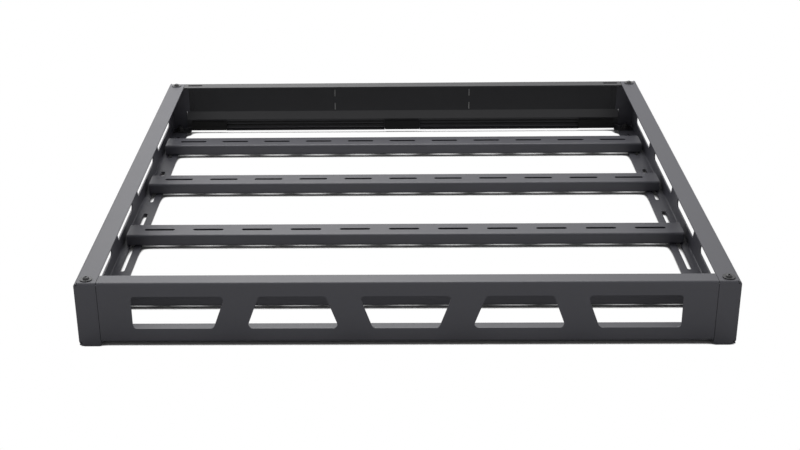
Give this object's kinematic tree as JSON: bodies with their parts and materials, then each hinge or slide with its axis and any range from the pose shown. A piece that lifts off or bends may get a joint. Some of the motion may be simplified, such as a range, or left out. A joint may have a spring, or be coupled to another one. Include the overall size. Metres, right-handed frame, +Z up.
{
  "type": "roof rack",
  "caption": "Flat vehicle roof rack tray of bent black sheet: windowed side and rear panels, a solid front fairing and slotted crossbars that carry tied-down cargo.",
  "frame": {"origin": "middle of the rack's footprint, on the level floor that its foot tabs stand on", "axes": "+X across the rack to the right as seen from the rear, +Y towards the front fairing, +Z up"},
  "size_m": [1.143, 1.118, 0.122],
  "materials": {
    "powder_coat": "satin black powder coat with a fine texture"
  },
  "bodies": {
    "root": {"right_side_panel": "powder_coat", "left_side_panel": "powder_coat", "rear_panel": "powder_coat", "front_fairing": "powder_coat", "crossbar_rear": "powder_coat", "crossbar_mid_rear": "powder_coat", "crossbar_mid_front": "powder_coat", "crossbar_front": "powder_coat"}
  },
  "joints": []
}
